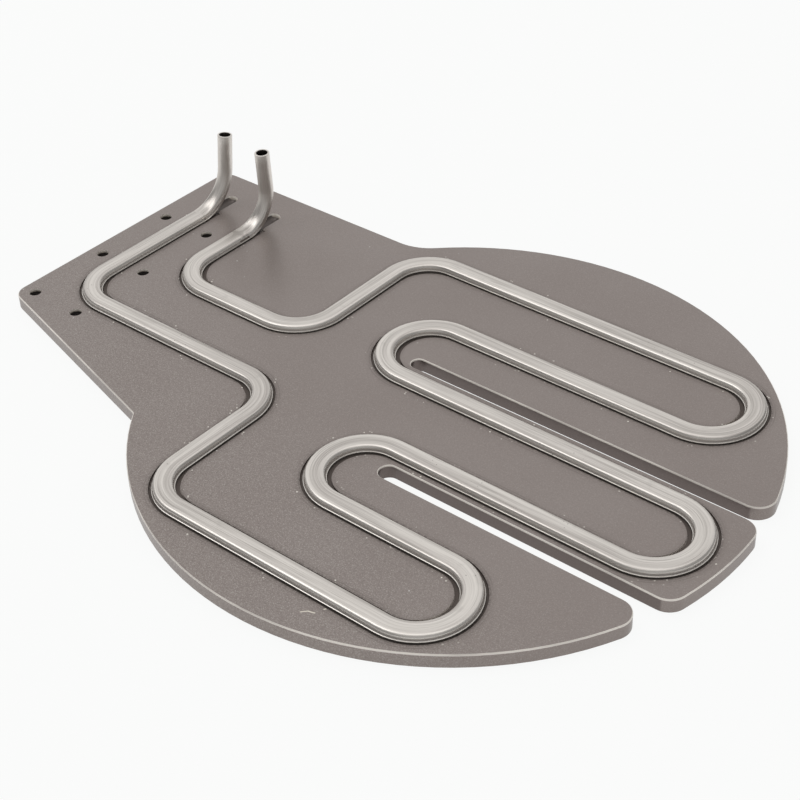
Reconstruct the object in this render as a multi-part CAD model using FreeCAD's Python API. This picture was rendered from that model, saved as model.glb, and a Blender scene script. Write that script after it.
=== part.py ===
import FreeCAD, Part
import math
import os
from FreeCAD import Vector

# Liquid cooling cold plate: a flat plate with a round disc and a tab, carrying one
# continuous tube that is pressed half-flat into a winding groove.
# Frame: origin at the disc's centre on the plate's underside, +X along the two slots
# to the fingertips, the tab on the -X side, +Z up through the plate. Millimetres.

# --- base plate ---
plate_thickness = 7.5
disc_diameter = 300.0
tab_reach = 248.7            # disc centre to the tab's square end
straight_side_offset = 104.2  # disc centre line to the tab's straight side
flared_side_offset = 52.0    # disc centre line to the flared side, at the tab's end
flare_angle = 15.1           # how far the flared side opens towards the disc, degrees
tab_corner_radius = 8.0
straight_neck_radius = 27.0  # blend between the straight side and the disc
flared_neck_radius = 3.0     # blend between the flared side and the disc
fingertip_radius = 9.0
edge_break = 0.4

# --- slots that divide the disc into three fingers ---
wide_slot_width = 9.4
wide_slot_end_x = -4.6
narrow_slot_width = 7.5
narrow_slot_end_x = -45.1
wide_slot_web = 2.5          # metal left between the groove and the wide slot
narrow_slot_web = 3.1        # metal left between the groove and the narrow slot

# --- mounting holes in the tab ---
hole_diameter = 6.4
hole_end_margin = 8.8        # tab's end to the first column
hole_column_pitch = 31.2
hole_row_pitch = 46.8
hole_middle_row_y = 1.3

# --- tube ---
tube_diameter = 8.0
tube_wall = 1.0
flattening_spread = 2.2      # the pressed tube is this much wider than the round one
proud_height = 3.0           # pressed tube above the plate's face
seat_depth = 2.6             # pressed tube below the plate's face
shoulder_radius = 2.1
bend_radius = 22.2           # centreline radius of every bend in the plate's plane

# --- tube's route, given by its straight runs ---
inlet_run_x = -224.5
outlet_run_x = -192.0
inlet_cross_run_y = -32.4
rising_run_x = -78.5
long_runs_middle_y = -11.2   # midway between the first and the last long run
first_tip_bend_x = 60.3
second_tip_bend_x = 114.3
third_tip_bend_x = 86.6
first_root_bend_x = -6.4
second_root_bend_x = -41.1
return_run_x = -101.3
outlet_cross_run_y = 7.7

# --- stubs, where the tube leaves the groove and stands up ---
inlet_lift_y = 57.8
inlet_stub_radius = 24.0     # centreline radius of the upward bend
inlet_stub_lean = 7.0        # short of upright, degrees
inlet_stub_height = 40.0     # end of the stub above the plate's face
outlet_lift_y = 59.6
outlet_stub_radius = 20.0
outlet_stub_lean = -1.5
outlet_stub_height = 41.5
rounding_angle = 72.0        # part of the bend over which the tube turns round again

# --- groove ---
bond_gap = 0.2               # bond line between the tube and its seat
mouth_gap = 1.5              # clearance beside the pressed tube
mouth_depth = 1.0
inner_bend_relief = 1.2      # extra clearance on the inside of every bend
lead_out_half_width = 4.1
lead_out_end_y = 86.9
mouth_past_lift = 11.0       # the mouth runs on this far past the point of lift
seat_past_lift = 8.0
bond_ledge = 0.8             # width of the bond's fillet on the mouth's ledge

pressed_width = tube_diameter + flattening_spread
mouth_half_width = pressed_width / 2 + mouth_gap
axis_z = plate_thickness + (proud_height - seat_depth) / 2
half_height = (proud_height + seat_depth) / 2
shoulder_x = pressed_width / 2 - shoulder_radius
shoulder_z = half_height - shoulder_radius
shoulder_drop = half_height + shoulder_z
belly_radius = (shoulder_x ** 2 + shoulder_drop ** 2 - shoulder_radius ** 2) / (
    2 * (shoulder_drop - shoulder_radius))
belly_z = belly_radius - half_height
belly_half_angle = math.atan2(shoulder_x, belly_z - shoulder_z)

run_pitch = 2 * bend_radius
long_runs = [long_runs_middle_y + (n - 2.5) * run_pitch for n in range(6)]
wide_slot_y = long_runs[2] - mouth_half_width - wide_slot_web - wide_slot_width / 2
narrow_slot_y = long_runs[3] + mouth_half_width + narrow_slot_web + narrow_slot_width / 2


def line(a, b):
    return Part.LineSegment(a, b).toShape()


def arc(a, b, c):
    return Part.Arc(a, b, c).toShape()


def polar(x, y, radius, angle, z):
    return Vector(x + radius * math.cos(angle), y + radius * math.sin(angle), z)


# --- sections of the tube, drawn in (across, up) about its axis ---

def pressed_outline(inset):
    """Corner and middle points of the pressed section, moved in by inset."""
    shoulder = shoulder_radius - inset
    belly = belly_radius - inset
    top = half_height - inset
    tangent = (belly * math.sin(belly_half_angle), belly_z - belly * math.cos(belly_half_angle))
    middle = belly_half_angle / 2
    side = (shoulder_x + shoulder * math.cos(middle), shoulder_z + shoulder * math.sin(middle))
    return [(-shoulder_x, top), (0, top), (shoulder_x, top), side, tangent,
            (0, belly_z - belly), (-tangent[0], tangent[1]), (-side[0], side[1])]


def round_outline(inset):
    """The same eight points on the round section."""
    radius = tube_diameter / 2 - inset
    angles = [131.5, 90, 48.5, 15.5, -17.5, -90, -162.5, 164.5]
    return [(radius * math.cos(math.radians(a)), radius * math.sin(math.radians(a))) for a in angles]


def section_wire(inset, roundness, origin, across, up):
    """One closed section at origin, between pressed (0) and round (1)."""
    flat_points = pressed_outline(inset)
    round_points = round_outline(inset)
    points = []
    for flat, full in zip(flat_points, round_points):
        u = flat[0] + (full[0] - flat[0]) * roundness
        v = flat[1] + (full[1] - flat[1]) * roundness
        points.append(origin + across * u + up * v)
    if roundness == 0:
        top = line(points[0], points[2])
    else:
        top = arc(points[0], points[1], points[2])
    edges = [top]
    edges.append(arc(points[2], points[3], points[4]))
    edges.append(arc(points[4], points[5], points[6]))
    edges.append(arc(points[6], points[7], points[0]))
    return Part.Wire(edges)


# --- tube's route in the plate's plane ---

def route(z, inlet_end_y, outlet_end_y, relief=0.0):
    """Start point, then each straight run's end and each bend's centre and angle in degrees.

    relief moves every bend to its inside without moving the straight runs."""
    wide = bend_radius + relief / (math.sqrt(2) - 1)
    start = Vector(inlet_run_x, inlet_end_y, z)
    steps = []

    def bend(centre_x, centre_y, radius, first, last):
        steps.append(("run", polar(centre_x, centre_y, radius, math.radians(first), z)))
        steps.append(("bend", Vector(centre_x, centre_y, z), last - first))

    bend(inlet_run_x + wide, inlet_cross_run_y + wide, wide, 180, 270)
    bend(rising_run_x - wide, inlet_cross_run_y - wide, wide, 90, 0)
    bend(rising_run_x + wide, long_runs[0] + wide, wide, 180, 270)
    tip_bends = [first_tip_bend_x, second_tip_bend_x, third_tip_bend_x]
    root_bends = [first_root_bend_x, second_root_bend_x]
    for n in range(5):
        middle = (long_runs[n] + long_runs[n + 1]) / 2
        if n % 2 == 0:
            bend(tip_bends[n // 2] - relief, middle, bend_radius, -90, 90)
        else:
            bend(root_bends[n // 2] + relief, middle, bend_radius, 270, 90)
    bend(return_run_x + wide, long_runs[5] - wide, wide, 90, 180)
    bend(return_run_x - wide, outlet_cross_run_y + wide, wide, 0, -90)
    bend(outlet_run_x + wide, outlet_cross_run_y + wide, wide, 270, 180)
    steps.append(("run", Vector(outlet_run_x, outlet_end_y, z)))
    return start, steps


def sweep(path, section):
    """Carry a section drawn at the path's start along its runs and bends."""
    place, steps = path
    face = Part.Face(section)
    pieces = []
    for step in steps:
        if step[0] == "run":
            move = step[1] - place
            pieces.append(face.extrude(move))
            face = face.translated(move)
            place = step[1]
        else:
            centre, angle = step[1], step[2]
            pieces.append(face.revolve(centre, Vector(0, 0, 1), angle))
            face = face.rotated(centre, Vector(0, 0, 1), angle)
            place = FreeCAD.Rotation(Vector(0, 0, 1), angle).multVec(place - centre) + centre
    return pieces[0].fuse(pieces[1:])


def stub(run_x, lift_y, radius, lean, height, inset):
    """The tube's end: it rises out of the groove, turns round and stands up."""
    across = Vector(1, 0, 0)
    centre = Vector(run_x, lift_y, axis_z + radius)
    full_turn = math.radians(90 - lean)

    def frame(angle):
        up = Vector(0, -math.sin(angle), math.cos(angle))
        return centre - up * radius, up

    stations = 8
    wires = []
    for n in range(stations + 1):
        share = n / stations
        origin, up = frame(math.radians(rounding_angle) * share)
        roundness = share * share * (3 - 2 * share)
        wires.append(section_wire(inset, roundness, origin, across, up))
    transition = Part.makeLoft(wires, True, False)
    origin, up = frame(math.radians(rounding_angle))
    ring = Part.Face(section_wire(inset, 1, origin, across, up))
    remaining = math.degrees(full_turn) - rounding_angle
    bend = ring.revolve(centre, across, remaining)
    origin, up = frame(full_turn)
    forward = Vector(0, math.cos(full_turn), math.sin(full_turn))
    rise = plate_thickness + height - origin.z
    straight = Part.Face(section_wire(inset, 1, origin, across, up)).extrude(forward * (rise / forward.z))
    return [transition, bend, straight]


def tube_body(inset):
    start = Vector(inlet_run_x, inlet_lift_y, axis_z)
    section = section_wire(inset, 0, start, Vector(1, 0, 0), Vector(0, 0, 1))
    pieces = [sweep(route(axis_z, inlet_lift_y, outlet_lift_y), section)]
    pieces += stub(inlet_run_x, inlet_lift_y, inlet_stub_radius, inlet_stub_lean,
                   inlet_stub_height, inset)
    pieces += stub(outlet_run_x, outlet_lift_y, outlet_stub_radius, outlet_stub_lean,
                   outlet_stub_height, inset)
    return pieces[0].fuse(pieces[1:])


# --- groove ---

def groove_profile(points, path_start):
    """Closed polygon of straight edges, drawn in (across, up from the plate's face)."""
    places = [path_start + Vector(x, 0, z) for x, z in points]
    return Part.makePolygon(places + [places[0]])


def seat_section(origin):
    """Round-bottomed seat that follows the pressed tube's belly."""
    radius = belly_radius + bond_gap
    centre = origin + Vector(0, 0, belly_z + axis_z - origin.z)
    ledge = -mouth_depth + plate_thickness
    half = math.sqrt(radius ** 2 - (centre.z - ledge) ** 2)
    left = Vector(origin.x - half, origin.y, ledge)
    right = Vector(origin.x + half, origin.y, ledge)
    bottom = Vector(origin.x, origin.y, centre.z - radius)
    lid = Vector(0, 0, mouth_depth + 1)
    return Part.Wire([line(left + lid, left), arc(left, bottom, right), line(right, right + lid),
                      line(right + lid, left + lid)])


def lead_out(run_x, lift_y):
    """Ball-ended slot that lets the round tube rise clear of the plate."""
    floor = belly_z + axis_z - belly_radius - bond_gap
    depth = plate_thickness - floor
    radius = (lead_out_half_width ** 2 + depth ** 2) / (2 * depth)
    end_y = lead_out_end_y - lead_out_half_width
    middle = math.asin(lead_out_half_width / radius) / 2
    foot = Vector(run_x, lift_y, floor)
    left = Vector(run_x - lead_out_half_width, lift_y, plate_thickness)
    right = Vector(run_x + lead_out_half_width, lift_y, plate_thickness)
    lid = Vector(0, 0, 1)
    edges = [line(left + lid, left), arc(left, foot, right), line(right, right + lid),
             line(right + lid, left + lid)]
    slot = Part.Face(Part.Wire(edges)).extrude(Vector(0, end_y - lift_y, 0))
    foot = Vector(run_x, end_y, floor)
    right = Vector(run_x + lead_out_half_width, end_y, plate_thickness)
    between = Vector(run_x + radius * math.sin(middle), end_y, floor + radius * (1 - math.cos(middle)))
    axis_top = Vector(run_x, end_y, plate_thickness + 1)
    edges = [line(axis_top, foot), arc(foot, between, right), line(right, right + lid),
             line(right + lid, axis_top)]
    end = Part.Face(Part.Wire(edges)).revolve(Vector(run_x, end_y, 0), Vector(0, 0, 1), 180)
    return slot.fuse(end)


def mouth(relief):
    """Shallow flat-bottomed mouth of the groove along the pressed runs."""
    inlet_end = inlet_lift_y + mouth_past_lift
    outlet_end = outlet_lift_y + mouth_past_lift
    start = Vector(inlet_run_x, inlet_end, plate_thickness)
    half = mouth_half_width
    corners = [(-half, 1), (half, 1), (half, -mouth_depth), (-half, -mouth_depth)]
    return sweep(route(plate_thickness, inlet_end, outlet_end, relief), groove_profile(corners, start))


# --- pieces ---

def vertical_edges_at(solid, places):
    found = []
    for edge in solid.Edges:
        ends = edge.Vertexes
        if len(ends) != 2 or abs(ends[0].Z - ends[1].Z) < plate_thickness / 2:
            continue
        for x, y in places:
            if math.hypot(ends[0].X - x, ends[0].Y - y) < 0.01:
                found.append(edge)
    return found


def base_plate():
    disc_radius = disc_diameter / 2
    slope = math.tan(math.radians(flare_angle))
    # where the flared side meets the disc's rim
    a = 1 + slope ** 2
    b = -2 * slope * (-flared_side_offset - slope * tab_reach)
    c = (-flared_side_offset - slope * tab_reach) ** 2 - disc_radius ** 2
    flared_x = (-b - math.sqrt(b * b - 4 * a * c)) / (2 * a)
    flared_y = -flared_side_offset - slope * (flared_x + tab_reach)
    straight_x = -math.sqrt(disc_radius ** 2 - straight_side_offset ** 2)
    corners = [(-tab_reach, straight_side_offset), (-tab_reach, -flared_side_offset)]
    necks = [(straight_x, straight_side_offset), (flared_x, flared_y)]

    outline = [corners[0], corners[1], necks[1], (0, 0), necks[0]]
    tab = Part.Face(Part.makePolygon([Vector(x, y, 0) for x, y in outline + outline[:1]]))
    disc = Part.Face(Part.Wire(Part.makeCircle(disc_radius)))
    plate = tab.extrude(Vector(0, 0, plate_thickness)).fuse(disc.extrude(Vector(0, 0, plate_thickness)))
    plate = plate.removeSplitter()

    tips = []
    slots = [(wide_slot_y, wide_slot_width, wide_slot_end_x),
             (narrow_slot_y, narrow_slot_width, narrow_slot_end_x)]
    for slot_y, width, end_x in slots:
        half = width / 2
        cut = Part.makeBox(disc_diameter, width, plate_thickness, Vector(end_x + half, slot_y - half, 0))
        cut = cut.fuse(Part.makeCylinder(half, plate_thickness, Vector(end_x + half, slot_y, 0)))
        plate = plate.cut(cut)
        for side in (-half, half):
            tips.append((math.sqrt(disc_radius ** 2 - (slot_y + side) ** 2), slot_y + side))
    plate = plate.removeSplitter()

    plate = plate.makeFillet(tab_corner_radius, vertical_edges_at(plate, corners))
    plate = plate.makeFillet(straight_neck_radius, vertical_edges_at(plate, necks[:1]))
    plate = plate.makeFillet(flared_neck_radius, vertical_edges_at(plate, necks[1:]))
    plate = plate.makeFillet(fingertip_radius, vertical_edges_at(plate, tips))
    rims = []
    for face in plate.Faces:
        if face.BoundBox.ZLength < 0.001:
            rims += face.OuterWire.Edges
    plate = plate.makeChamfer(edge_break, rims)

    for column in range(2):
        for row in (-1, 0, 1):
            x = -tab_reach + hole_end_margin + column * hole_column_pitch
            y = hole_middle_row_y + row * hole_row_pitch
            plate = plate.cut(Part.makeCylinder(hole_diameter / 2, plate_thickness, Vector(x, y, 0)))

    seat_end = Vector(inlet_run_x, inlet_lift_y + seat_past_lift, axis_z)
    seat = sweep(route(axis_z, seat_end.y, outlet_lift_y + seat_past_lift), seat_section(seat_end))
    plate = plate.cut(seat)
    plate = plate.cut(mouth(0.0))
    plate = plate.cut(mouth(inner_bend_relief))
    plate = plate.cut(lead_out(inlet_run_x, inlet_lift_y))
    plate = plate.cut(lead_out(outlet_run_x, outlet_lift_y))
    return plate


def coolant_tube():
    return tube_body(0.0).cut(tube_body(tube_wall))


def thermal_bond():
    """Thin bond line under the tube, with a fillet on each ledge of the mouth."""
    start = Vector(inlet_run_x, inlet_lift_y, axis_z)
    ledge = plate_thickness - mouth_depth - axis_z
    seat_radius = belly_radius + bond_gap
    half = math.sqrt(seat_radius ** 2 - (belly_z - ledge) ** 2)
    tangent = pressed_outline(0.0)[4]
    outer = [(half + bond_ledge, ledge), (half, ledge), (0, belly_z - seat_radius), (-half, ledge),
             (-half - bond_ledge, ledge), (-tangent[0], tangent[1]), (0, -half_height), tangent]
    p = [start + Vector(x, 0, z) for x, z in outer]
    section = Part.Wire([line(p[0], p[1]), arc(p[1], p[2], p[3]), line(p[3], p[4]), line(p[4], p[5]),
                         arc(p[5], p[6], p[7]), line(p[7], p[0])])
    return sweep(route(axis_z, inlet_lift_y, outlet_lift_y), section)


os.makedirs("parts", exist_ok=True)
pieces = {"base_plate": base_plate, "coolant_tube": coolant_tube, "thermal_bond": thermal_bond}
for name, make in pieces.items():
    make().exportStep("parts/" + name + ".step")
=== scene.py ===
import math

import bmesh
import bpy
import numpy as np
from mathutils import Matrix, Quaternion, Vector


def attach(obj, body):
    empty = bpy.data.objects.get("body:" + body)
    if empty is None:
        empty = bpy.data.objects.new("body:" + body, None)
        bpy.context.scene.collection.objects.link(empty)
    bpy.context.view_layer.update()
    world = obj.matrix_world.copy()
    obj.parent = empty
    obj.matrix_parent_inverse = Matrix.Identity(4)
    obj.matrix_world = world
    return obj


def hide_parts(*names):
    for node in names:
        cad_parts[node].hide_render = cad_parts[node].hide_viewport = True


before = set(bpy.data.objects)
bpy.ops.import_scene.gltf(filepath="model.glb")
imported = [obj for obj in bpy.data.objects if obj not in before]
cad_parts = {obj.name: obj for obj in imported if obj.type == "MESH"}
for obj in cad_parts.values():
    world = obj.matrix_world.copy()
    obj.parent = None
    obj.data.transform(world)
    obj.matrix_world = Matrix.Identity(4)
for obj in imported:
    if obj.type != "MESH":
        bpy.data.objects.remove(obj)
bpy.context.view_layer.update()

# A liquid cooling cold plate: a slotted metal plate with one winding tube pressed into its face.
# Metres, in the plate's own frame: origin at the disc's centre on the underside, +Z up.

mm = 0.001

# --- plate ---
face_z = 7.5 * mm

# --- tube ---
tube_radius = 4.0 * mm
tube_wall = 1.0 * mm
axis_z = 7.7 * mm
bend_radius = 22.2 * mm

# --- the tube's straight runs ---
inlet_run_x = -224.5 * mm
outlet_run_x = -192.0 * mm
inlet_cross_run_y = -32.4 * mm
rising_run_x = -78.5 * mm
long_runs_middle_y = -11.2 * mm
tip_bends_x = [60.3 * mm, 114.3 * mm, 86.6 * mm]
root_bends_x = [-6.4 * mm, -41.1 * mm]
return_run_x = -101.3 * mm
outlet_cross_run_y = 7.7 * mm
long_runs = [long_runs_middle_y + (n - 2.5) * 2 * bend_radius for n in range(6)]

# --- the two upright stubs; the lean is in degrees from upright ---
inlet_lift_y = 57.8 * mm
inlet_stub_radius = 24.0 * mm
inlet_stub_lean = 7.0
inlet_stub_top_z = 47.5 * mm
outlet_lift_y = 59.6 * mm
outlet_stub_radius = 20.0 * mm
outlet_stub_lean = -1.5
outlet_stub_top_z = 49.0 * mm
stub_reach = 8 * mm         # what lies this near a stub's run in X belongs to that stub
seam_margin = 0.01 * mm     # keeps the last ring in the groove out of the stub
stub_turn_steps = 28
stub_rise_steps = 4
rounding_angle = 72.0       # degrees of turn over which the pressed section becomes round

# --- the open ends ---
end_break = 0.2 * mm
lip_floor_z = axis_z + 30 * mm
lip_sharpness = 60.0
smooth_below = 38.0

# Right half of the pressed tube's section, across and up from its middle, in millimetres:
# flat top, shoulder, side, a narrow ledge left by the press, and the belly in the groove.
pressed_skin = [(0, 2.8), (1.2, 2.8), (2.3, 2.8), (3.1, 2.8), (3.65, 2.72), (4.12, 2.50),
                (4.50, 2.13), (4.75, 1.66), (4.86, 1.15), (4.90, 0.60), (4.92, 0.20), (5.02, 0.06),
                (5.30, -0.02), (5.38, -0.14), (5.34, -0.34), (5.12, -0.62), (4.70, -1.10),
                (4.00, -1.70), (2.95, -2.28), (1.60, -2.68), (0, -2.8)]
pressed_bore = [(0, 1.8), (1.2, 1.8), (2.3, 1.8), (3.0, 1.70), (3.55, 1.40), (3.85, 0.90),
                (3.95, 0.30), (3.85, -0.30), (3.50, -0.80), (2.90, -1.25), (2.10, -1.58),
                (1.10, -1.76), (0, -1.8)]

bend_step = 7.5             # degrees from ring to ring
run_step = 8.0 * mm
top_first = 0.01            # radians added so that the point straight above sorts first
far_away = 1.0e9
end_steepness = 4           # how much faster distance grows past the end of a run or bend


# --- the tube's route ---

def polar(x, y, radius, degrees):
    angle = math.radians(degrees)
    return Vector((x + radius * math.cos(angle), y + radius * math.sin(angle), axis_z))


def tube_route():
    """Runs as ("run", from, to) and bends as ("bend", centre, first degrees, last degrees)."""
    steps = []
    place = [Vector((inlet_run_x, inlet_lift_y, axis_z))]

    def run_to(end):
        steps.append(("run", place[0], end))
        place[0] = end

    def bend(x, y, first, last):
        run_to(polar(x, y, bend_radius, first))
        steps.append(("bend", Vector((x, y, axis_z)), first, last))
        place[0] = polar(x, y, bend_radius, last)

    r = bend_radius
    bend(inlet_run_x + r, inlet_cross_run_y + r, 180, 270)
    bend(rising_run_x - r, inlet_cross_run_y - r, 90, 0)
    bend(rising_run_x + r, long_runs[0] + r, 180, 270)
    for n in range(5):
        middle = (long_runs[n] + long_runs[n + 1]) / 2
        if n % 2 == 0:
            bend(tip_bends_x[n // 2], middle, -90, 90)
        else:
            bend(root_bends_x[n // 2], middle, 270, 90)
    bend(return_run_x + r, long_runs[5] - r, 90, 180)
    bend(return_run_x - r, outlet_cross_run_y + r, 0, -90)
    bend(outlet_run_x + r, outlet_cross_run_y + r, 270, 180)
    run_to(Vector((outlet_run_x, outlet_lift_y, axis_z)))
    return steps


route = tube_route()


# --- modelling helpers ---

def start_piece(name):
    """Names the primitive just added and opens it for shaping."""
    piece = bpy.context.object
    piece.name = name
    piece.data.name = name
    bpy.ops.object.transform_apply(location=True, rotation=True, scale=True)
    bpy.ops.object.mode_set(mode="EDIT")
    return piece


def deselect_objects():
    bpy.ops.object.select_all(action="DESELECT")


def select_rim(piece, place, reach):
    """Selects the open rim whose points lie within reach of place."""
    bpy.ops.mesh.select_all(action="DESELECT")
    bpy.ops.mesh.select_mode(type="EDGE")
    mesh = bmesh.from_edit_mesh(piece.data)
    for edge in mesh.edges:
        near = all((v.co - place).length < reach for v in edge.verts)
        edge.select_set(edge.is_boundary and near)
    bmesh.update_edit_mesh(piece.data)


def draw_out(move, steps=1):
    for n in range(steps):
        bpy.ops.mesh.extrude_edges_move(TRANSFORM_OT_translate={"value": move / steps})


def sweep_round(centre, axis, degrees, steps):
    bpy.ops.mesh.spin(steps=steps, angle=-math.radians(degrees), center=centre, axis=axis)


# --- coolant tube ---

def pipe_skin(name, half_section, round_radius):
    """One skin of the tube, outer or bore, swept along the route and up both stubs."""
    deselect_objects()
    section = [Vector((u, 0, v)) * mm for u, v in half_section]
    section += [Vector((-point.x, 0, point.z)) for point in reversed(section[1:-1])]
    lift = route[0][1]
    bpy.ops.mesh.primitive_circle_add(vertices=len(section), radius=tube_radius, location=lift,
                                      rotation=(math.radians(90), 0, 0))
    skin = start_piece(name)
    mesh = bmesh.from_edit_mesh(skin.data)

    def turn_from_top(vertex):
        angle = math.atan2(vertex.co.x - lift.x, vertex.co.z - lift.z)
        return (angle + top_first) % (2 * math.pi)

    for vertex, point in zip(sorted(mesh.verts, key=turn_from_top), section):
        vertex.co = lift + point
    bmesh.update_edit_mesh(skin.data)
    bpy.ops.mesh.select_all(action="SELECT")
    for step in route:
        if step[0] == "run":
            move = step[2] - step[1]
            draw_out(move, max(1, round(move.length / run_step)))
        else:
            turn = step[3] - step[2]
            sweep_round(step[1], (0, 0, 1), turn, round(abs(turn) / bend_step))
    stand_up(skin, outlet_run_x, outlet_lift_y, outlet_stub_radius, outlet_stub_lean,
             outlet_stub_top_z, section, round_radius)
    stand_up(skin, inlet_run_x, inlet_lift_y, inlet_stub_radius, inlet_stub_lean,
             inlet_stub_top_z, section, round_radius)
    bpy.ops.object.mode_set(mode="OBJECT")
    return skin


def respaced(half_section, count):
    """The same half section with a given number of evenly spaced points."""
    u, v = np.array(half_section).T
    travelled = np.concatenate(([0], np.cumsum(np.hypot(np.diff(u), np.diff(v)))))
    places = np.linspace(0, travelled[-1], count)
    across, up = np.interp(places, travelled, u), np.interp(places, travelled, v)
    return list(zip(across.tolist(), up.tolist()))


def open_rims(mesh, run_x):
    """The edges of one stub that have a face on one side only."""
    return [edge for edge in mesh.edges
            if edge.is_boundary and abs(edge.verts[0].co.x - run_x) < stub_reach]


def close_lip(tube, run_x):
    """Draws the outer rim of one open end inwards and joins it to the rim of the bore."""
    bpy.ops.mesh.select_mode(type="EDGE")
    bpy.ops.mesh.select_all(action="DESELECT")
    mesh = bmesh.from_edit_mesh(tube.data)
    inside = mesh.verts.layers.float["inside"]
    for edge in open_rims(mesh, run_x):
        edge.select_set(edge.verts[0][inside] < 0.5)
    bmesh.update_edit_mesh(tube.data)
    bpy.ops.mesh.extrude_region_move()
    mesh = bmesh.from_edit_mesh(tube.data)
    inside = mesh.verts.layers.float["inside"]
    rim = [vertex for vertex in mesh.verts if vertex.select]
    centre = sum((vertex.co for vertex in rim), Vector()) / len(rim)
    for vertex in rim:
        vertex.co = centre + (vertex.co - centre) * (1 - tube_wall / tube_radius)
        vertex[inside] = 1.0
    for edge in open_rims(mesh, run_x):
        edge.select_set(True)
    bmesh.update_edit_mesh(tube.data)
    bpy.ops.mesh.remove_doubles(threshold=end_break / 2)


def coolant_tube():
    """Outer skin and bore, joined by a ring at each open end whose edges are broken."""
    tube = pipe_skin("tube", pressed_skin, tube_radius)
    bore = pipe_skin("bore", respaced(pressed_bore, len(pressed_skin)), tube_radius - tube_wall)
    for skin, inside in ((tube, 0.0), (bore, 1.0)):
        marks = skin.data.attributes.new("inside", "FLOAT", "POINT")
        marks.data.foreach_set("value", [inside] * len(skin.data.vertices))
    deselect_objects()
    bore.select_set(True)
    tube.select_set(True)
    bpy.context.view_layer.objects.active = tube
    bpy.ops.object.join()
    bpy.ops.object.mode_set(mode="EDIT")
    for run_x in (inlet_run_x, outlet_run_x):
        close_lip(tube, run_x)
    bpy.ops.mesh.select_all(action="SELECT")
    bpy.ops.mesh.normals_make_consistent(inside=False)
    bpy.ops.mesh.select_all(action="DESELECT")
    mesh = bmesh.from_edit_mesh(tube.data)
    for edge in mesh.edges:
        lip = min(v.co.z for v in edge.verts) > lip_floor_z
        edge.select_set(lip and edge.calc_face_angle(0) > math.radians(lip_sharpness))
    bmesh.update_edit_mesh(tube.data)
    bpy.ops.mesh.bevel(offset=end_break, segments=2, affect="EDGES")
    bpy.ops.object.mode_set(mode="OBJECT")
    bpy.ops.object.shade_smooth_by_angle(angle=math.radians(smooth_below))
    return tube


def stand_up(tube, run_x, lift_y, radius, lean, top_z, section, round_radius):
    """Carries the open end up out of the groove, round again and upright."""
    select_rim(tube, Vector((run_x, lift_y, axis_z)), stub_reach)
    centre = Vector((run_x, lift_y, axis_z + radius))
    sweep_round(centre, (1, 0, 0), 90 - lean, stub_turn_steps)
    turned = math.radians(90 - lean)
    rise = top_z - (centre.z - radius * math.cos(turned))
    draw_out(Vector((0, rise / math.tan(turned), rise)), stub_rise_steps)
    mesh = bmesh.from_edit_mesh(tube.data)
    for vertex in mesh.verts:
        beyond = vertex.co.y > lift_y + seam_margin
        if beyond and abs(vertex.co.x - run_x) <= stub_reach:
            make_round(vertex, centre, radius, turned, section, round_radius)
    bmesh.update_edit_mesh(tube.data)


def make_round(vertex, centre, radius, turned, section, round_radius):
    """Moves one point of a stub from the pressed section towards its place on the round one."""
    offset = vertex.co - centre
    angle = math.atan2(offset.y, -offset.z)
    angle = min(angle, turned) if offset.length < 2 * radius else turned
    up = Vector((0, -math.sin(angle), math.cos(angle)))
    along = Vector((0, math.cos(angle), math.sin(angle)))
    middle = centre - up * radius
    middle += along * (vertex.co - middle).dot(along)
    out = vertex.co - middle
    pressed = Vector((out.x, 0, out.dot(up)))
    order = min(range(len(section)), key=lambda n: (section[n] - pressed).length)
    turn = 2 * math.pi * order / len(section)
    rounded = Vector((math.sin(turn), 0, 0)) + up * math.cos(turn)
    share = min(1.0, angle / math.radians(rounding_angle))
    vertex.co = middle + out.lerp(rounded * round_radius, share * share * (3 - 2 * share))


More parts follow.
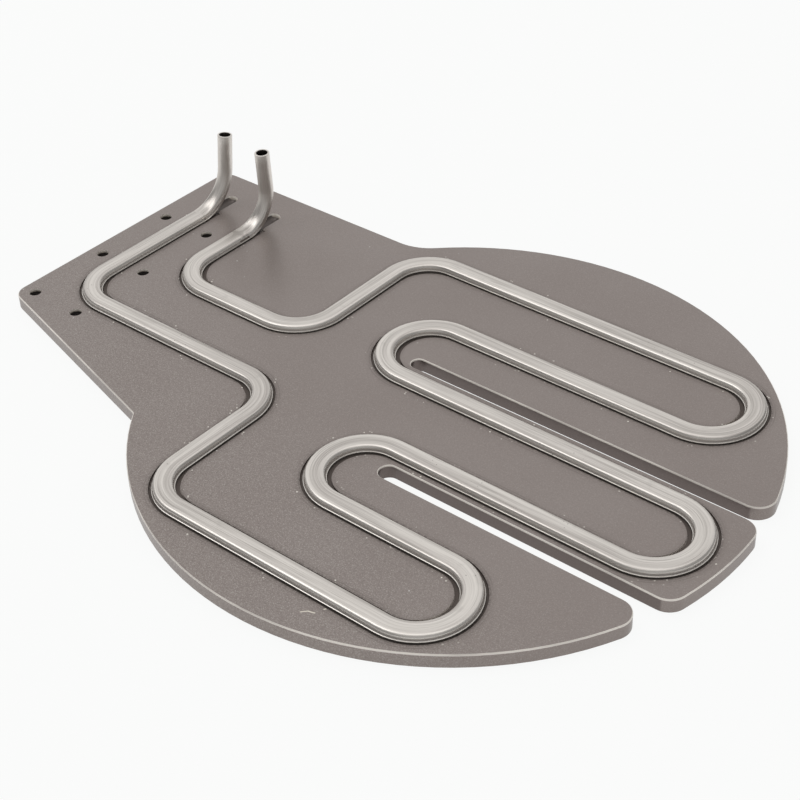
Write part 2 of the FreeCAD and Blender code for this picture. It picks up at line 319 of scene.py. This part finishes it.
def lay_grain(tube):
    """Stores each point's place on the route: across, up and along, in millimetres."""
    points = np.empty(len(tube.data.vertices) * 3)
    tube.data.vertices.foreach_get("co", points)
    x, y, z = points.reshape(-1, 3).T
    nearest = np.full(len(x), far_away)
    across = np.zeros(len(x))
    along = np.zeros(len(x))
    up = z - axis_z
    travelled = 0.0
    for step in route:
        if step[0] == "run":
            start, end = step[1], step[2]
            length = (end - start).length
            way = (end - start) / length
            ahead = (x - start.x) * way.x + (y - start.y) * way.y
            aside = (y - start.y) * way.x - (x - start.x) * way.y
            past_end = np.maximum(0, np.abs(ahead - length / 2) - length / 2)
            distance = np.hypot(aside, past_end)
        else:
            centre, first = step[1], math.radians(step[2])
            turn = math.radians(step[3] - step[2])
            length = bend_radius * abs(turn)
            outward = np.hypot(x - centre.x, y - centre.y)
            angle = np.arctan2(y - centre.y, x - centre.x)
            swept = np.mod((angle - first) * math.copysign(1, turn) + 1, 2 * math.pi) - 1
            ahead = swept * bend_radius
            aside = (outward - bend_radius) * -math.copysign(1, turn)
            past_end = np.maximum(0, np.abs(ahead - length / 2) - length / 2)
            distance = np.abs(aside) + end_steepness * past_end
        closer = distance < nearest
        nearest = np.where(closer, distance, nearest)
        across = np.where(closer, aside, across)
        along = np.where(closer, travelled + ahead, along)
        travelled += length
    stubs = [(inlet_run_x, inlet_lift_y, inlet_stub_radius, -1, 0.0),
             (outlet_run_x, outlet_lift_y, outlet_stub_radius, 1, travelled)]
    for run_x, lift_y, radius, way, start in stubs:
        on_stub = (y > lift_y) & (np.abs(x - run_x) < stub_reach)
        centre_z = axis_z + radius
        angle = np.arctan2(y - lift_y, centre_z - z)
        upright = z > centre_z
        climbed = np.where(upright, radius * math.pi / 2 + z - centre_z, radius * angle)
        outward = np.where(upright, y - lift_y, np.hypot(y - lift_y, z - centre_z))
        raised = radius - outward
        across = np.where(on_stub, (x - run_x) * way, across)
        up = np.where(on_stub, raised, up)
        along = np.where(on_stub, start + climbed * way, along)
    lay = tube.data.attributes.new("lay", "FLOAT_VECTOR", "POINT")
    lay.data.foreach_set("vector", (np.stack([across, up, along], axis=1) / mm).ravel())


tube = coolant_tube()
lay_grain(tube)
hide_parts("coolant_tube")
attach(tube, "root")


# --- finishes ---

# millimetres: each slot's middle line, half width and closed end, then the bolt holes
wide_slot = (-47.2, 4.7, -4.6)
narrow_slot = (24.45, 3.75, -45.1)
hole_columns_x = -224.3
hole_column_half_pitch = 15.6
hole_rows_y = 1.3
hole_row_pitch = 46.8
hole_radius = 3.2
lead_out_half_width = 4.1
lead_out_end_y = 86.9
scratch_lines = [(29.1, -136.8, 31.4, -134.4), (31.0, -134.6, 34.4, -133.6),
                 (35.6, -129.9, 36.3, -129.0), (112.2, 23.6, 113.6, 22.2)]

# a colour mix's sockets
mix_factor, mix_first, mix_second, mixed = 0, 6, 7, 2


class Value:
    """A socket of a finish, which adds, takes away and multiplies as a number does."""

    def __init__(self, finish, socket):
        self.finish = finish
        self.socket = socket

    def maths(self, operation, first, second=0.0):
        return self.finish.node("ShaderNodeMath", {"operation": operation}, {0: first, 1: second})

    def __add__(self, other):
        return self.maths("ADD", self, other)

    def __sub__(self, other):
        return self.maths("SUBTRACT", self, other)

    def __mul__(self, other):
        return self.maths("MULTIPLY", self, other)

    def __rsub__(self, other):
        return self.maths("SUBTRACT", other, self)

    __radd__ = __add__
    __rmul__ = __mul__

    def __abs__(self):
        return self.maths("ABSOLUTE", self)


class Finish:
    """The nodes of one material or of the room's light."""

    def __init__(self, tree):
        self.tree = tree
        tree.nodes.clear()

    def node(self, kind, settings=None, inputs=None, output=0):
        made = self.tree.nodes.new(kind)
        for name, setting in (settings or {}).items():
            setattr(made, name, setting)
        for name, value in (inputs or {}).items():
            if isinstance(value, Value):
                self.tree.links.new(value.socket, made.inputs[name])
            else:
                made.inputs[name].default_value = value
        return Value(self, made.outputs[output]) if made.outputs else None

    def vector(self, operation, first, second=(0, 0, 0), output="Vector"):
        return self.node("ShaderNodeVectorMath", {"operation": operation},
                         {0: first, 1: second}, output)

    def greater(self, first, second):
        return self.node("ShaderNodeMath", {"operation": "MAXIMUM"}, {0: first, 1: second})

    def lesser(self, first, second):
        return self.node("ShaderNodeMath", {"operation": "MINIMUM"}, {0: first, 1: second})

    def rise(self, value, low, high):
        """0 below low, 1 above high, smooth between; falls instead where low is the larger."""
        return self.node("ShaderNodeMapRange", {"interpolation_type": "SMOOTHSTEP"},
                         {"Value": value, "From Min": low, "From Max": high})

    def band(self, value, low, high, edge):
        return self.rise(value, low - edge, low + edge) * self.rise(value, high + edge, high - edge)

    def noise(self, place, scale, detail=2.0, roughness=0.5):
        return self.node("ShaderNodeTexNoise", None, {
            "Vector": place, "Scale": scale, "Detail": detail, "Roughness": roughness})

    def specks(self, place, scale, size):
        """Small spots, one to a cell, whose radius is size cells at most."""
        spot = self.node("ShaderNodeTexVoronoi", None, {"Vector": place, "Scale": scale})
        return self.rise(spot, size, size * 0.5)

    def mix(self, factor, first, second):
        return self.node("ShaderNodeMix", {"data_type": "RGBA"},
                         {mix_factor: factor, mix_first: first, mix_second: second}, mixed)

    def mix_shaders(self, factor, first, second):
        return self.node("ShaderNodeMixShader", None, {0: factor, 1: first, 2: second})

    def split(self, place):
        return [self.node("ShaderNodeSeparateXYZ", None, {0: place}, n) for n in range(3)]

    def bump(self, height, strength, distance):
        return self.node("ShaderNodeBump", None, {
            "Height": height, "Strength": strength, "Distance": distance})

    def surface(self, shader):
        self.node("ShaderNodeOutputMaterial", None, {"Surface": shader})


def new_finish(name):
    material = bpy.data.materials.new(name)
    material.use_nodes = True
    return material, Finish(material.node_tree)


def object_place(finish):
    """The point's place on the object, in millimetres."""
    metres = finish.node("ShaderNodeTexCoord", output="Object")
    return finish.node("ShaderNodeVectorMath", {"operation": "SCALE"},
                       {0: metres, "Scale": 1 / mm})


def point_value(finish, name, output):
    """What the mesh's points store under a name."""
    return finish.node("ShaderNodeAttribute", {"attribute_name": name}, output=output)


def off_route(finish, place, x, y):
    """Distance in plan from the tube's middle line, in millimetres."""
    level = finish.vector("MULTIPLY", place, (1, 1, 0))
    distance = None
    for step in route:
        if step[0] == "run":
            here = off_run(finish, x, y, step[1] / mm, step[2] / mm)
        else:
            here = off_bend(finish, level, x, y, step)
        distance = finish.lesser(distance, here) if distance else here
    return distance


def off_run(finish, x, y, start, end):
    """Distance from one run, which grows four times as fast past its ends."""
    middle = (start + end) / 2
    half = (end - start).length / 2
    if abs(start.x - end.x) < abs(start.y - end.y):
        beside, ahead = abs(x - middle.x), abs(y - middle.y)
    else:
        beside, ahead = abs(y - middle.y), abs(x - middle.x)
    return finish.greater(beside, (ahead - half) * end_steepness)


def off_bend(finish, level, x, y, step):
    """Distance from one bend, which grows four times as fast outside its quarter or half."""
    centre = step[1] / mm
    outward = finish.vector("DISTANCE", level, (centre.x, centre.y, 0), "Value")
    distance = abs(outward - bend_radius / mm)
    middle = math.radians((step[2] + step[3]) / 2)
    away_x, away_y = math.cos(middle), math.sin(middle)
    quarter = abs(step[3] - step[2]) < 100
    if quarter:
        away_x, away_y = math.copysign(1, away_x), math.copysign(1, away_y)
    if abs(away_x) > 0.5:
        distance = finish.greater(distance, (centre.x - x) * (end_steepness * away_x))
    if abs(away_y) > 0.5:
        distance = finish.greater(distance, (centre.y - y) * (end_steepness * away_y))
    return distance


def slot_wall(finish, x, y, slot):
    """1 on the walls of one slot, given as its middle line's Y, half width and closed end's X."""
    middle_y, half_width, end_x = slot
    beside = finish.rise(abs(y - middle_y), half_width + 0.4, half_width + 0.1)
    return beside * finish.rise(x, end_x - 0.4, end_x)


def hole_walls(finish, x, y):
    """1 on the walls of the six bolt holes."""
    over = abs(x - hole_columns_x) - hole_column_half_pitch
    along = abs(abs(y - hole_rows_y) - hole_row_pitch / 2) - hole_row_pitch / 2
    reach = finish.node("ShaderNodeCombineXYZ", None, {0: over, 1: along, 2: 0.0})
    distance = finish.vector("LENGTH", reach, output="Value")
    return finish.rise(distance, hole_radius + 0.3, hole_radius + 0.1)


def lead_outs(finish, x, y):
    """1 in the two short slots where the tube leaves the groove."""
    masks = []
    for run_x, lift_y in ((inlet_run_x, inlet_lift_y), (outlet_run_x, outlet_lift_y)):
        beside = finish.rise(abs(x - run_x / mm),
                             lead_out_half_width + 0.3, lead_out_half_width + 0.1)
        masks.append(beside * finish.band(y, lift_y / mm - 1.0, lead_out_end_y + 0.3, 0.1))
    return masks[0] + masks[1]


def scratches(finish, x, y):
    """A few short bright scratches on the plate's face."""
    marks = None
    for from_x, from_y, to_x, to_y in scratch_lines:
        length = math.hypot(to_x - from_x, to_y - from_y)
        way_x, way_y = (to_x - from_x) / length, (to_y - from_y) / length
        ahead = (x - from_x) * way_x + (y - from_y) * way_y
        beside = abs((y - from_y) * way_x - (x - from_x) * way_y)
        mark = finish.rise(beside, 0.42, 0.15) * finish.band(ahead, 0, length, 0.3)
        marks = finish.greater(marks, mark) if marks else mark
    return marks


# plate colours
plate_dark = (0.268, 0.228, 0.211, 1)
plate_pale = (0.312, 0.272, 0.255, 1)
painted_sparkle_colour = (0.50, 0.465, 0.43, 1)
grain_shadow = (0.13, 0.108, 0.098, 1)
grain_pale = (0.42, 0.385, 0.35, 1)
burr_colour = (0.10, 0.085, 0.077, 1)
outer_line_colour = (0.14, 0.12, 0.11, 1)
glint_colour = (0.88, 0.84, 0.76, 1)
stray_colour = (0.80, 0.79, 0.76, 1)
groove_colour = (0.120, 0.100, 0.089, 1)
groove_side_shade_colour = (0.130, 0.108, 0.098, 1)
slot_colour = (0.110, 0.084, 0.078, 1)
hole_colour = (0.045, 0.037, 0.033, 1)
hole_rim_highlight_colour = (0.66, 0.60, 0.53, 1)
edge_highlight_colour = (0.98, 0.92, 0.85, 1)
scratch_colour = (0.90, 0.84, 0.72, 1)

# millimetres from the tube's middle line
burr_reach = (6.5, 7.5)
outer_line_reach = (8.25, 8.55)
glint_reach = (6.8, 9.6)
groove_edge = (7.6, 7.2)
groove_side_shade_reach = (12.5, 7.0)
edge_highlight_reach = (7.2, 7.8)


def blasted_grain(finish, colour, grain, fine, x, y):
    """Grain and sparkle, stronger towards the plate's -Y side. The grain is the plate's own, the
    sparkle is a painted highlight, and the strength towards -Y is painted sheen.
    """
    # painted sheen: grain and sparkle grow stronger towards the -Y side
    grain_and_sheen_area = finish.rise(y * -1 - x * 0.35, 20, 120) * 0.65 + 0.35
    # painted highlight: paler specks from fine noise stand in for glints
    painted_sparkle = finish.rise(fine, 0.50, 0.72) * grain_and_sheen_area
    colour = finish.mix(painted_sparkle * 0.7, colour, painted_sparkle_colour)
    shade = finish.rise(grain, 0.50, 0.30) * grain_and_sheen_area
    colour = finish.mix(shade * 0.28, colour, grain_shadow)
    pale_grain = finish.rise(grain, 0.52, 0.72) * grain_and_sheen_area
    return finish.mix(pale_grain * 0.35, colour, grain_pale)


def groove_lips(finish, colour, place, aside, ragged, burr, face):
    """A rough burr, then a faint broken dark line a little further out, with glints between."""
    colour = finish.mix(burr * finish.rise(ragged, 0.38, 0.62) * 0.6, colour, burr_colour)
    outer_line = finish.band(aside + (ragged - 0.5) * 0.5, *outer_line_reach, 0.15) * face
    broken = finish.rise(finish.noise(place, 0.05, 2.0), 0.42, 0.60)
    colour = finish.mix(outer_line * broken * 0.45, colour, outer_line_colour)
    glints = finish.specks(place, 0.45, 0.26) * finish.band(aside, *glint_reach, 0.6)
    glints = glints * finish.rise(finish.noise(place, 0.13, 2.0), 0.54, 0.62) * face
    colour = finish.mix(glints, colour, glint_colour)
    clusters = finish.rise(finish.noise(place, 0.04, 1.0), 0.52, 0.58)
    stray = finish.specks(place, 0.10, 0.045) * clusters
    return finish.mix(stray * face * 0.8, colour, stray_colour)


def plate_finish():
    """Blasted grey metal, scarred beside the groove, with painted shade on its walls and beside the
    groove and painted highlights along its edges.
    """
    material, finish = new_finish("blasted_plate")
    place = object_place(finish)
    x, y, z = finish.split(place)
    aside = off_route(finish, place, x, y)
    top = face_z / mm
    face = finish.rise(z, top - 0.10, top - 0.01)
    below = 1 - face
    grain = finish.noise(place, 0.95, 3.0, 0.65)
    fine = finish.noise(place, 1.9, 2.0, 0.6)
    patches = finish.noise(place, 0.018, 3.0, 0.55)
    ragged = finish.noise(place, 0.9, 4.0, 0.7)
    burr = finish.band(aside + (ragged - 0.5) * 1.2, *burr_reach, 0.35) * face
    colour = finish.mix(patches, plate_dark, plate_pale)
    colour = blasted_grain(finish, colour, grain, fine, x, y)
    colour = groove_lips(finish, colour, place, aside, ragged, burr, face)

    # walls in shadow: the groove, the two slots, the holes and the lead-outs
    clear_of_base = finish.rise(z, 0.3, 1.0)
    groove = finish.rise(aside, *groove_edge) * below * clear_of_base
    colour = finish.mix(groove, colour, groove_colour)
    # painted shade: the plate is darkened within about 7 to 12.5 mm of the tube's middle line,
    # where the tube shades it
    groove_side_shade = finish.rise(aside + patches * 3, *groove_side_shade_reach) * clear_of_base
    colour = finish.mix(groove_side_shade * 0.26, colour, groove_side_shade_colour)
    slots = slot_wall(finish, x, y, wide_slot) + slot_wall(finish, x, y, narrow_slot)
    colour = finish.mix(slots * below * 0.62, colour, slot_colour)
    holes = hole_walls(finish, x, y) * below
    led_out = lead_outs(finish, x, y) * below
    colour = finish.mix(finish.greater(holes, led_out * 0.75), colour, hole_colour)

    # painted highlights on the rims of the holes, the ends of the lead-outs and the edges of the
    # face; metal rubbed bright in the scratches
    hole_rim_highlights = finish.greater(holes, led_out * finish.rise(y, 84.5, 85.5))
    hole_rim_highlights = hole_rim_highlights * finish.rise(z, top - 1.9, top - 1.1)
    colour = finish.mix(hole_rim_highlights, colour, hole_rim_highlight_colour)
    # painted highlight: the top millimetre of every wall, away from the groove, is made whitish and
    # less metallic
    edge_highlight = finish.rise(z, top - 1.0, top - 0.75) * finish.rise(z, top - 0.004, top - 0.03)
    edge_highlight = edge_highlight * finish.rise(aside, *edge_highlight_reach)
    edge_highlight = edge_highlight * (0.65 + finish.rise(patches, 0.35, 0.6) * 0.35)
    colour = finish.mix(edge_highlight, colour, edge_highlight_colour)
    scratch = scratches(finish, x, y) * face
    colour = finish.mix(scratch * 0.85, colour, scratch_colour)

    relief = grain * 0.5 + fine * 0.3 + ragged * burr * 2.5
    shader = finish.node("ShaderNodeBsdfPrincipled", None, {
        "Base Color": colour,
        "Metallic": 0.6 - edge_highlight * 0.5 - scratch * 0.4,
        "Specular IOR Level": 0.2,
        "Roughness": 0.29 + grain * 0.08 + groove * 0.3 + holes * 0.3,
        "Normal": finish.bump(relief, 0.35, 0.06 * mm),
    })
    finish.surface(shader)
    return material


# tube colours
tube_dark = (0.48, 0.445, 0.415, 1)
tube_pale = (0.74, 0.70, 0.655, 1)
hair_line_colour = (0.82, 0.77, 0.73, 1)
score_colour = (0.30, 0.275, 0.255, 1)
blotch_colour = (0.40, 0.375, 0.35, 1)
pit_colour = (0.13, 0.115, 0.10, 1)
flank_highlight_colour = (0.84, 0.80, 0.75, 1)
stub_colour = (0.80, 0.76, 0.715, 1)
bore_shade_colour = (0.030, 0.025, 0.022, 1)

# how many times the grain repeats in a millimetre across, up and along the tube
long_grain = (0.55, 0.55, 0.010)
hair_grain = (2.0, 2.0, 0.030)


def tube_finish():
    """Drawn steel, burnished lengthwise where the press has rubbed its top."""
    material, finish = new_finish("burnished_tube")
    lay = point_value(finish, "lay", "Vector")
    across, up = finish.split(lay)[:2]
    place = object_place(finish)
    height = finish.split(place)[2]
    long_lines = finish.noise(finish.vector("MULTIPLY", lay, long_grain), 1.0, 3.0, 0.65)
    hair_lines = finish.noise(finish.vector("MULTIPLY", lay, hair_grain), 1.0, 2.0, 0.6)
    blotches = finish.noise(place, 0.12, 3.0, 0.6)

    # parts of the tube: its flat top, its flanks above the ledge, the round stubs, the bore
    top = finish.rise(up, 2.2, 2.7) * finish.rise(up, 6.0, 3.2)
    flank_highlight = finish.rise(abs(across), 4.5, 4.8)
    flank_highlight = flank_highlight * finish.rise(up, 2.0, 1.2) * finish.rise(up, 0.05, 0.25)
    stub = finish.rise(height, 13, 24)
    inside = finish.rise(point_value(finish, "inside", "Fac"), 0.80, 0.98)

    colour = finish.mix(finish.rise(long_lines, 0.30, 0.70), tube_dark, tube_pale)
    colour = finish.mix(finish.rise(hair_lines, 0.46, 0.68) * 0.40, colour, hair_line_colour)
    scores = finish.rise(hair_lines, 0.42, 0.28) * top
    colour = finish.mix(scores * 0.50, colour, score_colour)
    colour = finish.mix(finish.rise(blotches, 0.60, 0.78) * 0.25, colour, blotch_colour)
    clusters = finish.rise(finish.noise(place, 0.03, 2.0), 0.56, 0.64)
    pits = finish.specks(place, 0.30, 0.10) * clusters
    colour = finish.mix(pits * 0.7, colour, pit_colour)
    # painted highlight: the flanks above the ledge are made paler and less metallic so that they
    # show a bright line
    colour = finish.mix(flank_highlight * 0.8, colour, flank_highlight_colour)
    colour = finish.mix(stub * 0.6, colour, stub_colour)
    # painted shade: the bore is made nearly black
    colour = finish.mix(inside * 0.96, colour, bore_shade_colour)

    roughness = 0.24 + stub * 0.20 + inside * 0.10 + top * 0.08 + flank_highlight * 0.12
    roughness = roughness + (long_lines - 0.5) * 0.16 + (hair_lines - 0.5) * 0.12
    relief = long_lines * 0.6 + hair_lines * 0.4 - pits * 0.6
    shader = finish.node("ShaderNodeBsdfPrincipled", None, {
        "Base Color": colour,
        "Metallic": 1.0 - flank_highlight * 0.35,
        "Roughness": roughness,
        "Normal": finish.bump(relief, 0.30, 0.10 * mm),
    })
    finish.surface(shader)
    return material


bond_dark = (0.055, 0.046, 0.041, 1)
bond_pale = (0.115, 0.097, 0.086, 1)


def bond_finish():
    """Dark thermal compound, slightly uneven."""
    material, finish = new_finish("dark_bond")
    lumps = finish.noise(object_place(finish), 0.8, 3.0, 0.6)
    shader = finish.node("ShaderNodeBsdfPrincipled", None, {
        "Base Color": finish.mix(lumps, bond_dark, bond_pale),
        "Roughness": 0.55 + lumps * 0.3,
        "Normal": finish.bump(lumps, 0.5, 0.2 * mm),
    })
    finish.surface(shader)
    return material


def coat(piece, material):
    """Puts one material in every slot of a piece."""
    if not piece.material_slots:
        piece.data.materials.append(material)
    for slot in piece.material_slots:
        slot.material = material


coat(tube, tube_finish())
coat(bpy.data.objects["base_plate"], plate_finish())
coat(bpy.data.objects["thermal_bond"], bond_finish())


# --- room, lights and camera ---

white = (1, 1, 1, 1)
paper_white = (0.955, 0.958, 0.955, 1)
floor_width = 40.0
floor_paper = (0.86, 0.86, 0.86, 1)
floor_glow = (0.985, 0.99, 0.985, 1)
floor_glow_share = 0.92

camera_place = Vector((393.5, -484.3, 486.0)) * mm
camera_heading = 41.35
camera_downward = 36.76
camera_roll = -2.6
camera_lens = 77.16
camera_sensor = 36.0

lamp_place = (-1.65, -0.45, 2.46)
lamp_width = 1.5
lamp_watts = 11

# the room: plan directions, and how strongly each part of it shines
sideways_way = (0.751, 0.661, 0.0)
behind_way = (-0.661, 0.751, 0.0)
front_level = 0.50
behind_extra = 0.40
side_wall_level = 0.36
ceiling_extra = 0.6


def seen(finish):
    """1 for what the eye, a reflection or glass sees, 0 for the light that the surface gives."""
    rays = [finish.node("ShaderNodeLightPath", output=name)
            for name in ("Is Camera Ray", "Is Glossy Ray", "Is Transmission Ray")]
    return finish.lesser(rays[0] + rays[1] + rays[2], 1.0)


def pale_floor():
    """A floor that looks plain white to the eye and to metal, and still takes a faint shadow."""
    deselect_objects()
    bpy.ops.mesh.primitive_plane_add(size=floor_width)
    floor = bpy.context.object
    floor.name = "floor"
    material, finish = new_finish("pale_floor")
    paper = finish.node("ShaderNodeBsdfDiffuse", None, {"Color": floor_paper})
    glow = finish.node("ShaderNodeEmission", None, {"Color": floor_glow, "Strength": 1.0})
    finish.surface(finish.mix_shaders(seen(finish) * floor_glow_share, paper, glow))
    coat(floor, material)


def aim(thing, way):
    """Turns a camera or lamp to look along way."""
    thing.rotation_mode = "QUATERNION"
    thing.rotation_quaternion = way.to_track_quat("-Z", "Y")


def set_camera():
    """Looks down on the plate from beyond its fingertips, rolled a little."""
    bpy.ops.object.camera_add(location=camera_place)
    camera = bpy.context.object
    camera.data.lens = camera_lens
    camera.data.sensor_width = camera_sensor
    heading, downward = math.radians(camera_heading), math.radians(camera_downward)
    aim(camera, Vector((-math.sin(heading) * math.cos(downward),
                        math.cos(heading) * math.cos(downward),
                        -math.sin(downward))))
    camera.rotation_quaternion @= Quaternion((0, 0, 1), math.radians(camera_roll))
    bpy.context.scene.camera = camera


def set_lamp():
    """One soft lamp, high up beyond the tab's end."""
    bpy.ops.object.light_add(type="AREA", location=lamp_place)
    lamp = bpy.context.object
    lamp.data.size = lamp_width
    lamp.data.energy = lamp_watts
    aim(lamp, -lamp.location)


def room_light():
    """A room that is brighter behind the plate, with a grey wall on each side.

    The eye alone sees a plain white backdrop. Reflections see the room at its own level.
    """
    world = bpy.data.worlds.new("studio")
    world.use_nodes = True
    room = Finish(world.node_tree)
    way = room.vector("NORMALIZE", room.node("ShaderNodeTexCoord", output="Generated"))
    height = room.split(way)[2]
    sideways = abs(room.vector("DOT_PRODUCT", way, sideways_way, "Value"))
    wall = room.rise(sideways, 0.40, 0.66) * room.rise(height, 0.04, 0.12)
    ceiling = room.rise(height, 0.86, 0.96)
    behind = room.rise(room.vector("DOT_PRODUCT", way, behind_way, "Value"), -0.35, 0.45)
    level = (front_level + behind * behind_extra) * (1 - wall)
    level = level + wall * side_wall_level + ceiling * ceiling_extra
    camera_ray = room.node("ShaderNodeLightPath", output="Is Camera Ray")
    strength = camera_ray + (1 - camera_ray) * level
    background = room.node("ShaderNodeBackground", None, {"Color": white, "Strength": level})
    backdrop = room.node("ShaderNodeBackground", None,
                         {"Color": paper_white, "Strength": strength})
    shader = room.mix_shaders(seen(room), background, backdrop)
    room.node("ShaderNodeOutputWorld", None, {"Surface": shader})
    bpy.context.scene.world = world


pale_floor()
set_camera()
set_lamp()
room_light()
bpy.context.scene.view_settings.view_transform = "Standard"
